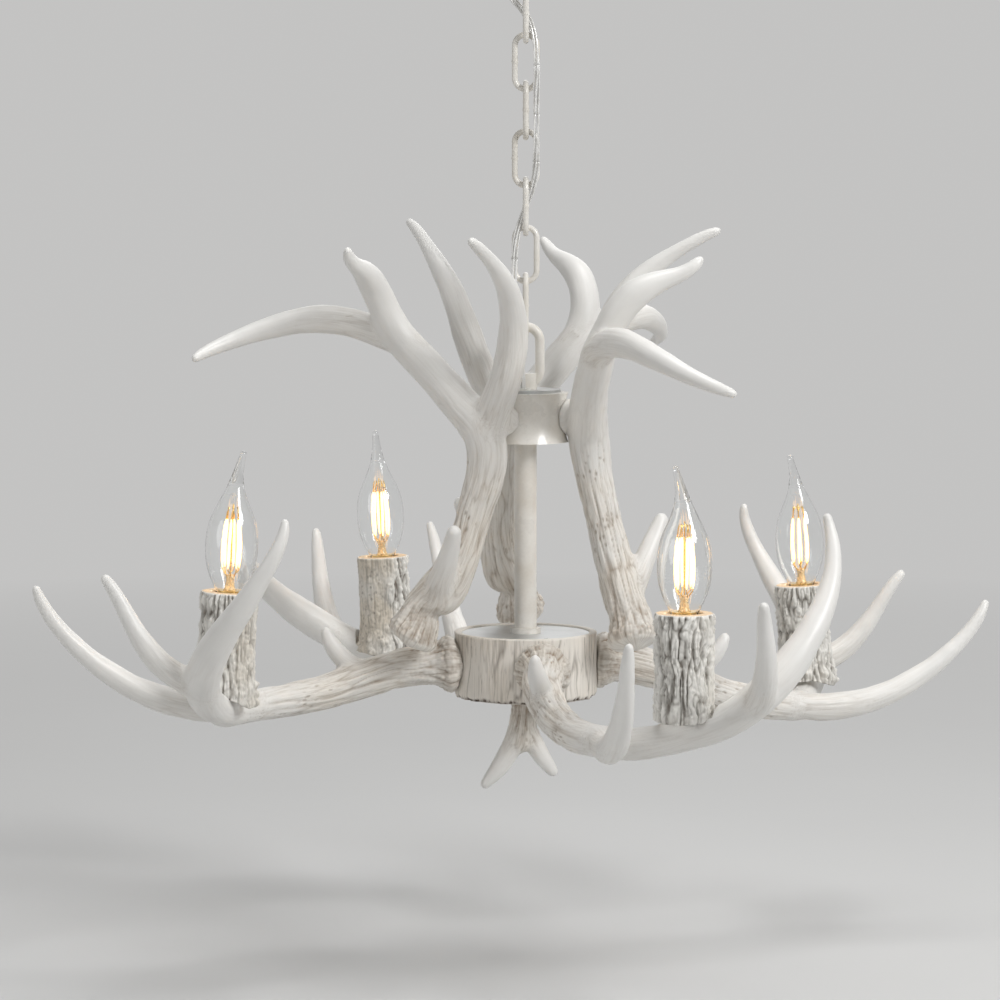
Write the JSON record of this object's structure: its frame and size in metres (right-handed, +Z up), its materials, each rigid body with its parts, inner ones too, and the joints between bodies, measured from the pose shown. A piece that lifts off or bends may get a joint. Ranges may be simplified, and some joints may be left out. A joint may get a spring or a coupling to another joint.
{
  "type": "antler chandelier",
  "caption": "Chandelier of cast antlers round a stem, with candle lamps in bark sleeves, hung on a chain from a ceiling canopy.",
  "frame": {"origin": "centre of the mounting strap's top face, on the ceiling", "axes": "+Z up into the ceiling, +X along the strap, to the right as seen from the front, +Y to the back"},
  "size_m": [0.6599, 0.6743, 0.6002],
  "materials": {
    "antler_resin": "cast resin, ivory white with a thin brown wash in the grooves",
    "bark_resin": "cast bark, whitewashed, with dark fissures",
    "hub_resin": "cast wood grain, whitewashed",
    "cream_paint": "satin cream paint, lightly worn",
    "plate_metal": "satin grey",
    "zinc_steel": "zinc plated",
    "bushing_plastic": "moulded",
    "holder_plastic": "moulded",
    "cap_brass": "bright",
    "lamp_glass": "clear",
    "filament": "glowing warm white",
    "cable_pvc": "clear, over thin bright wires"
  },
  "bodies": {
    "ceiling_mount": {"mounting_strap": "zinc_steel", "canopy": "cream_paint", "strap_nipple": "zinc_steel", "strap_nut": "zinc_steel", "screw_collar": "cream_paint", "canopy_eye": "cream_paint", "canopy_bushing": "bushing_plastic", "supply_cable": "cable_pvc"},
    "link_1": {"chain_link_1": "cream_paint"},
    "link_2": {"chain_link_2": "cream_paint"},
    "link_3": {"chain_link_3": "cream_paint"},
    "link_4": {"chain_link_4": "cream_paint"},
    "link_5": {"chain_link_5": "cream_paint"},
    "link_6": {"chain_link_6": "cream_paint"},
    "link_7": {"connector_link": "cream_paint"},
    "light_body": {"hanging_loop": "cream_paint", "upper_hub": "cream_paint", "upper_cover": "plate_metal", "cover_bushing": "bushing_plastic", "threaded_rod": "zinc_steel", "upper_rod_nut": "zinc_steel", "stem_tube": "cream_paint", "stem_flange": "cream_paint", "lower_hub": "hub_resin", "hub_cover": "plate_metal", "lower_rod_nut": "zinc_steel", "finial": "antler_resin", "upper_antler_screws": "zinc_steel", "lower_antler_screws": "zinc_steel", "upper_antler_left": "antler_resin", "upper_antler_right": "antler_resin", "upper_antler_rear": "antler_resin", "lower_antler_a": "antler_resin", "lower_antler_b": "antler_resin", "lower_antler_c": "antler_resin", "lower_antler_d": "antler_resin", "holder_nipples": "zinc_steel", "bark_sleeve_a": "bark_resin", "bark_sleeve_b": "bark_resin", "bark_sleeve_c": "bark_resin", "bark_sleeve_d": "bark_resin", "lamp_holder_a": "holder_plastic", "lamp_holder_b": "holder_plastic", "lamp_holder_c": "holder_plastic", "lamp_holder_d": "holder_plastic"},
    "lamp_a": {"lamp_cap_a": "cap_brass", "lamp_glass_a": "lamp_glass", "lamp_filament_a": "filament"},
    "lamp_b": {"lamp_cap_b": "cap_brass", "lamp_glass_b": "lamp_glass", "lamp_filament_b": "filament"},
    "lamp_c": {"lamp_cap_c": "cap_brass", "lamp_glass_c": "lamp_glass", "lamp_filament_c": "filament"},
    "lamp_d": {"lamp_cap_d": "cap_brass", "lamp_glass_d": "lamp_glass", "lamp_filament_d": "filament"}
  },
  "joints": [
    {"name": "chain_hinge_1", "type": "hinge", "parent": "ceiling_mount", "child": "link_1", "pos_m": [0, 0, -0.054], "axis": [1, 0, 0], "range_deg": [-40, 40], "deforming": ["supply_cable"]},
    {"name": "chain_hinge_2", "type": "hinge", "parent": "link_1", "child": "link_2", "pos_m": [0, 0, -0.0862], "axis": [0, 1, 0], "range_deg": [-40, 40], "deforming": ["supply_cable"]},
    {"name": "chain_hinge_3", "type": "hinge", "parent": "link_2", "child": "link_3", "pos_m": [0, 0, -0.1189], "axis": [-1, 0, 0], "range_deg": [-40, 40], "deforming": ["supply_cable"]},
    {"name": "chain_hinge_4", "type": "hinge", "parent": "link_3", "child": "link_4", "pos_m": [0, 0, -0.1516], "axis": [0, -1, 0], "range_deg": [-40, 40], "deforming": ["supply_cable"]},
    {"name": "chain_hinge_5", "type": "hinge", "parent": "link_4", "child": "link_5", "pos_m": [0, 0, -0.1843], "axis": [1, 0, 0], "range_deg": [-40, 40], "deforming": ["supply_cable"]},
    {"name": "chain_hinge_6", "type": "hinge", "parent": "link_5", "child": "link_6", "pos_m": [0, 0, -0.217], "axis": [0, 1, 0], "range_deg": [-40, 40], "deforming": ["supply_cable"]},
    {"name": "chain_hinge_7", "type": "hinge", "parent": "link_6", "child": "link_7", "pos_m": [0, 0, -0.2497], "axis": [-1, 0, 0], "range_deg": [-40, 40], "deforming": ["supply_cable"]},
    {"name": "chain_hinge_8", "type": "hinge", "parent": "link_7", "child": "light_body", "pos_m": [0, 0, -0.2864], "axis": [0, -1, 0], "range_deg": [-40, 40], "deforming": ["supply_cable"]},
    {"name": "lamp_lift_a", "type": "slide", "parent": "light_body", "child": "lamp_a", "axis": [0, 0, 1], "range_m": [0, 0.03]},
    {"name": "lamp_lift_b", "type": "slide", "parent": "light_body", "child": "lamp_b", "axis": [0.0523, 0, 0.9986], "range_m": [0, 0.03]},
    {"name": "lamp_lift_c", "type": "slide", "parent": "light_body", "child": "lamp_c", "axis": [-0.0436, 0, 0.999], "range_m": [0, 0.03]},
    {"name": "lamp_lift_d", "type": "slide", "parent": "light_body", "child": "lamp_d", "axis": [-0.0523, 0, 0.9986], "range_m": [0, 0.03]}
  ]
}
